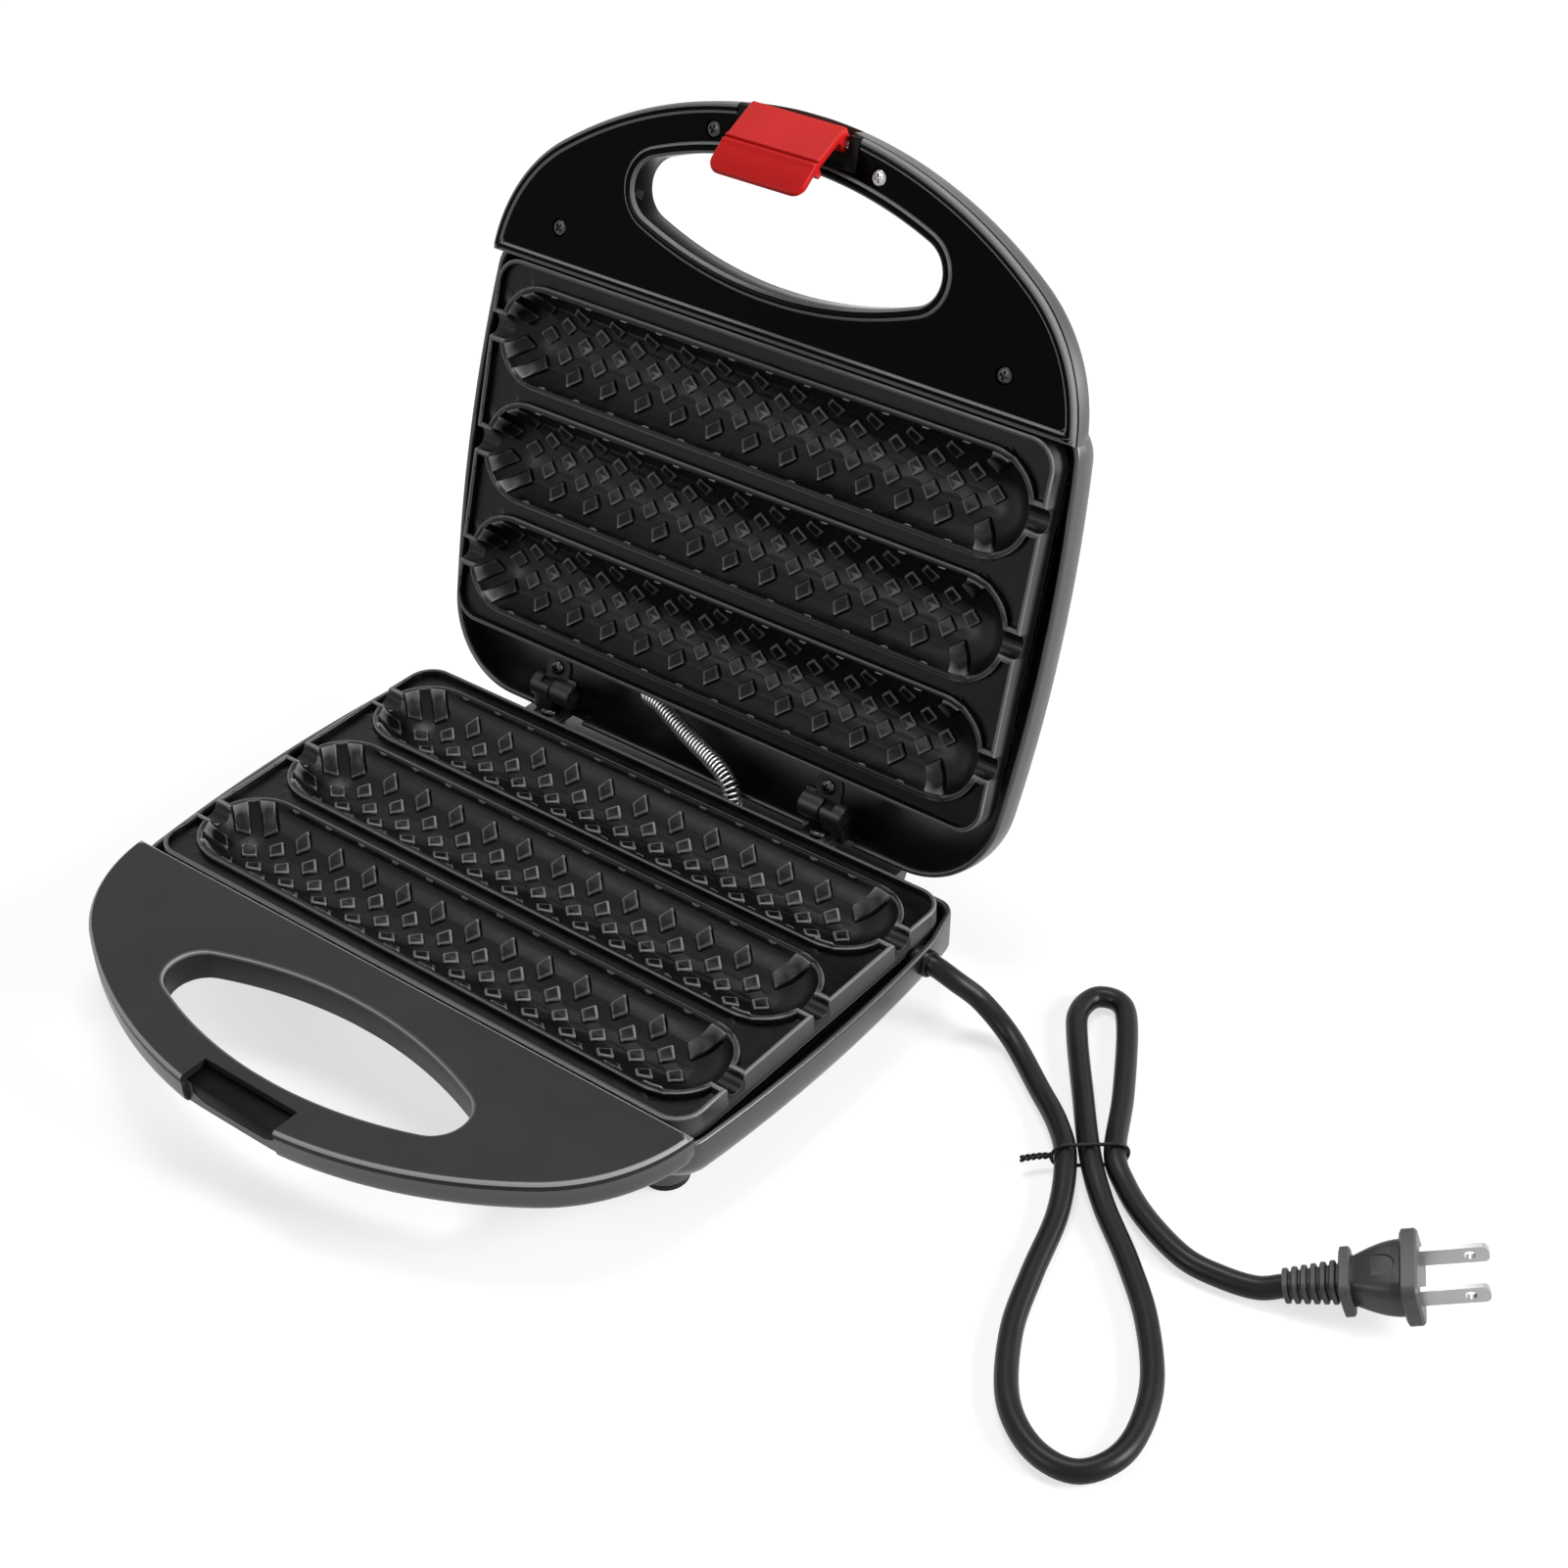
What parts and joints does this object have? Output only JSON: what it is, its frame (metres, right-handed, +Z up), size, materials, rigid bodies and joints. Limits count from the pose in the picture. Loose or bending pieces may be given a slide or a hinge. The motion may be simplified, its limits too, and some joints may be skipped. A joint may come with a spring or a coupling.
{
  "type": "corn dog maker",
  "caption": "Clamshell electric corn dog maker standing open, capsule cavities in both plates, D-shaped grips, hinged lid with a red latch, and a power cord with plug.",
  "frame": {"origin": "on the table under the middle of the open appliance, measured without its cord", "axes": "+X along the hinge to the cord's side, +Y from the grip to the hinge, +Z up"},
  "size_m": [0.4217, 0.2744, 0.2267],
  "materials": {
    "housing_plastic": "satin black moulded plastic",
    "base_cover_plastic": "satin charcoal plastic",
    "lid_cover_plastic": "gloss black plastic",
    "nonstick": "cast aluminium under black non-stick coating",
    "screw_steel": "zinc plated",
    "dark_screw": "blackened steel",
    "heater_steel": "heat-dulled sheath",
    "sheet_aluminium": "thin bright sheet",
    "ceramic": "pale moulded insulator",
    "fuse_case": "tin plated case",
    "wire_sleeve": "dark silicone sleeve",
    "foot_rubber": "matte black",
    "hinge_metal": "satin black",
    "cord_pvc": "satin black PVC",
    "plug_plastic": "dark grey moulded plug",
    "nickel": "nickel plated",
    "red_lens": "clear red",
    "green_lens": "clear green",
    "lamp_glass": "small neon lamp",
    "conduit_steel": "bright wound wire",
    "latch_red": "red moulded plastic"
  },
  "bodies": {
    "base": {"base_housing": "housing_plastic", "base_grip_shell": "housing_plastic", "base_handle_cover": "base_cover_plastic", "base_cover_screws": "dark_screw", "lower_plate": "nonstick", "lower_plate_screws": "screw_steel", "lower_heater": "heater_steel", "lower_reflector": "sheet_aluminium", "thermostat": "ceramic", "thermal_fuse": "fuse_case", "terminal_block": "ceramic", "mains_wires": "wire_sleeve", "feet": "foot_rubber", "base_hinge_left": "hinge_metal", "base_hinge_right": "hinge_metal", "base_hinge_screws": "screw_steel", "hinge_pins": "screw_steel", "cord_bushing": "cord_pvc", "power_cord": "cord_pvc", "cord_tie": "cord_pvc", "plug": "plug_plastic", "plug_blades": "nickel", "wire_conduit": "conduit_steel", "conduit_wires": "wire_sleeve"},
    "lid": {"lid_housing": "housing_plastic", "lid_grip_shell": "housing_plastic", "lid_handle_cover": "lid_cover_plastic", "lid_cover_screws": "dark_screw", "upper_plate": "nonstick", "upper_plate_screws": "screw_steel", "upper_heater": "heater_steel", "upper_reflector": "sheet_aluminium", "lid_hinge_left": "hinge_metal", "lid_hinge_right": "hinge_metal", "lid_hinge_screws": "screw_steel", "power_lens": "red_lens", "ready_lens": "green_lens", "indicator_lamps": "lamp_glass", "latch_pin": "screw_steel"},
    "latch": {"latch_clip": "latch_red"}
  },
  "joints": [
    {"name": "lid_hinge", "type": "hinge", "parent": "base", "child": "lid", "pos_m": [0, 0.06581, 0.0327], "axis": [1, 0, 0], "range_deg": [0, 108.5], "deforming": ["wire_conduit", "conduit_wires"]},
    {"name": "latch_swing", "type": "hinge", "parent": "lid", "child": "latch", "pos_m": [0, 0.12889, 0.22091], "axis": [1, 0, 0], "range_deg": [-43.6, 0]}
  ],
  "couplings": [
    {"joint": "latch_swing", "follows": "lid_hinge", "ratio": -0.40092}
  ]
}
